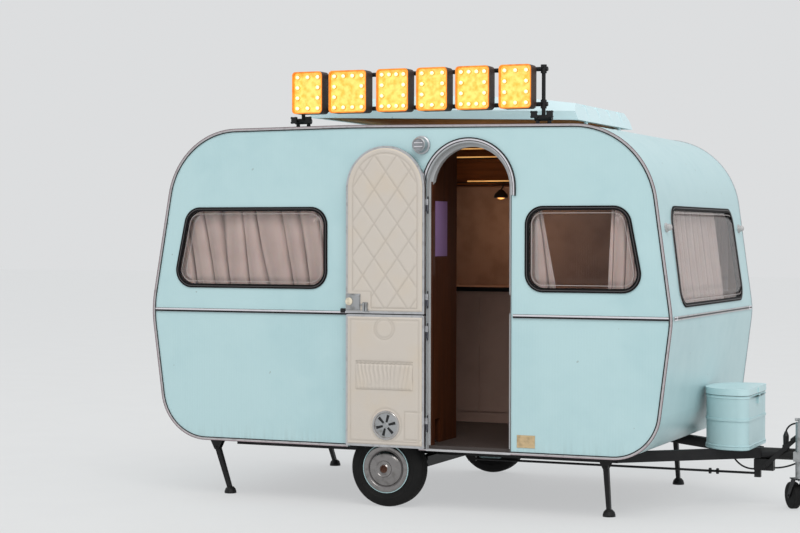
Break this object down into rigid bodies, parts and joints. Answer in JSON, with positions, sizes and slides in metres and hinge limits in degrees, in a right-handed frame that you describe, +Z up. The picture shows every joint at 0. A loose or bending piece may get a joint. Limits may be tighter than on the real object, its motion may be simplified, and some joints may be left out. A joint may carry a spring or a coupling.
{
  "type": "small touring caravan",
  "caption": "Small rounded touring caravan with a stable door open, roof lid, gas locker, steadies and jockey wheel.",
  "frame": {"origin": "on the ground under the middle of the overall length, on the centre plane", "axes": "+X forward to the coupling, +Y to the left side, +Z up"},
  "size_m": [4.1756, 1.998, 2.51],
  "materials": {
    "acrylic": "clear acrylic",
    "amber": "reflector",
    "black_paint": "satin chassis paint",
    "black_rubber": "matt",
    "bright_aluminium": "polished moulding",
    "brown_wood": "varnished",
    "chrome": "polished",
    "cream_leather": "quilted lining",
    "floor_grey": "floor covering",
    "lamp_grey": "ribbed lens",
    "lamp_red": "lens",
    "mint_paint": "satin enamel",
    "pale_wood": "varnished ply",
    "seat_cloth": "woven",
    "sign_amber": "light box",
    "steel": "zinc plated",
    "tyre_rubber": "matt"
  },
  "bodies": {
    "caravan": {"side_wall_right": "mint_paint", "side_wall_left": "mint_paint", "front_wall": "mint_paint", "rear_wall": "mint_paint", "roof": "mint_paint", "floor": "floor_grey", "wheel_boxes": "black_paint", "edge_mouldings": "bright_aluminium", "waist_rails": "bright_aluminium", "window_rubbers": "black_rubber", "window_panes": "acrylic", "door_frame": "bright_aluminium", "drip_moulding": "bright_aluminium", "door_hinges": "steel", "chassis": "black_paint", "axle": "black_paint", "draw_tube": "black_paint", "junction_block": "black_paint", "coupling_head": "black_paint", "jockey_clamp": "steel", "hand_brake": "black_paint", "brake_rod": "black_paint", "steady_brackets": "black_paint", "gas_locker": "mint_paint", "locker_hinge": "steel", "roof_lid_hinges": "steel", "wardrobe": "brown_wood", "kitchen_unit": "brown_wood", "overhead_lockers": "brown_wood", "benches": "seat_cloth", "marker_lamps": "lamp_grey", "rear_lamps": "lamp_red", "awning_lamp": "lamp_grey", "side_plate": "amber", "sign_rack": "black_paint", "sign_boxes": "sign_amber", "hatch_frame": "brown_wood", "cables": "black_rubber"},
    "door_upper": {"door_latch": "steel", "door_upper": "mint_paint", "door_upper_lining": "cream_leather"},
    "door_lower": {"door_vent": "chrome", "door_lower": "mint_paint", "door_lower_lining": "cream_leather"},
    "roof_lid": {"roof_lid": "mint_paint", "roof_lid_lining": "pale_wood"},
    "locker_lid": {"gas_locker_lid": "mint_paint"},
    "steady_front_right": {"steady_front_right": "black_paint"},
    "steady_front_left": {"steady_front_left": "black_paint"},
    "steady_rear_right": {"steady_rear_right": "black_paint"},
    "steady_rear_left": {"steady_rear_left": "black_paint"},
    "wheel_right": {"tyre_right": "tyre_rubber", "rim_right": "mint_paint", "hub_cap_right": "chrome"},
    "wheel_left": {"tyre_left": "tyre_rubber", "rim_left": "mint_paint", "hub_cap_left": "chrome"},
    "jockey_stem": {"jockey_stem": "steel"},
    "jockey_fork": {"jockey_fork": "steel"},
    "jockey_wheel": {"jockey_wheel": "black_rubber"}
  },
  "joints": [
    {"name": "wheel_right_spin", "type": "hinge", "parent": "caravan", "child": "wheel_right", "pos_m": [-0.5715, -0.859, 0.222], "axis": [0, 1, 0], "continuous": true},
    {"name": "wheel_left_spin", "type": "hinge", "parent": "caravan", "child": "wheel_left", "pos_m": [-0.5715, 0.859, 0.222], "axis": [0, 1, 0], "continuous": true},
    {"name": "door_upper_hinge", "type": "hinge", "parent": "caravan", "child": "door_upper", "pos_m": [-0.2965, -0.966, 1.463], "axis": [0, 0, 1], "range_deg": [0, 180]},
    {"name": "door_lower_hinge", "type": "hinge", "parent": "caravan", "child": "door_lower", "pos_m": [-0.2965, -0.966, 0.753], "axis": [0, 0, 1], "range_deg": [0, 180]},
    {"name": "roof_lid_hinge", "type": "hinge", "parent": "caravan", "child": "roof_lid", "pos_m": [0.4345, 0, 2.2], "axis": [0, 1, 0], "range_deg": [-1.25, 16]},
    {"name": "locker_lid_hinge", "type": "hinge", "parent": "caravan", "child": "locker_lid", "pos_m": [1.0805, 0, 0.687], "axis": [0, -1, 0], "range_deg": [0, 70]},
    {"name": "jockey_lift", "type": "slide", "parent": "caravan", "child": "jockey_stem", "axis": [0, 0, 1], "range_m": [-0.12, 0.09]},
    {"name": "jockey_swivel", "type": "hinge", "parent": "jockey_stem", "child": "jockey_fork", "pos_m": [1.6335, -0.092, 0.18], "axis": [0, 0, 1], "continuous": true},
    {"name": "jockey_wheel_spin", "type": "hinge", "parent": "jockey_fork", "child": "jockey_wheel", "pos_m": [1.58302, -0.01991, 0.077], "axis": [-0.8192, -0.5736, 0], "continuous": true},
    {"name": "steady_front_right_fold", "type": "hinge", "parent": "caravan", "child": "steady_front_right", "pos_m": [0.6905, -0.745, 0.276], "axis": [0, 1, 0], "range_deg": [0, 90]},
    {"name": "steady_front_left_fold", "type": "hinge", "parent": "caravan", "child": "steady_front_left", "pos_m": [0.6905, 0.745, 0.276], "axis": [0, 1, 0], "range_deg": [0, 90]},
    {"name": "steady_rear_right_fold", "type": "hinge", "parent": "caravan", "child": "steady_rear_right", "pos_m": [-1.7565, -0.745, 0.276], "axis": [0, -1, 0], "range_deg": [0, 70]},
    {"name": "steady_rear_left_fold", "type": "hinge", "parent": "caravan", "child": "steady_rear_left", "pos_m": [-1.7565, 0.745, 0.276], "axis": [0, -1, 0], "range_deg": [0, 70]}
  ]
}
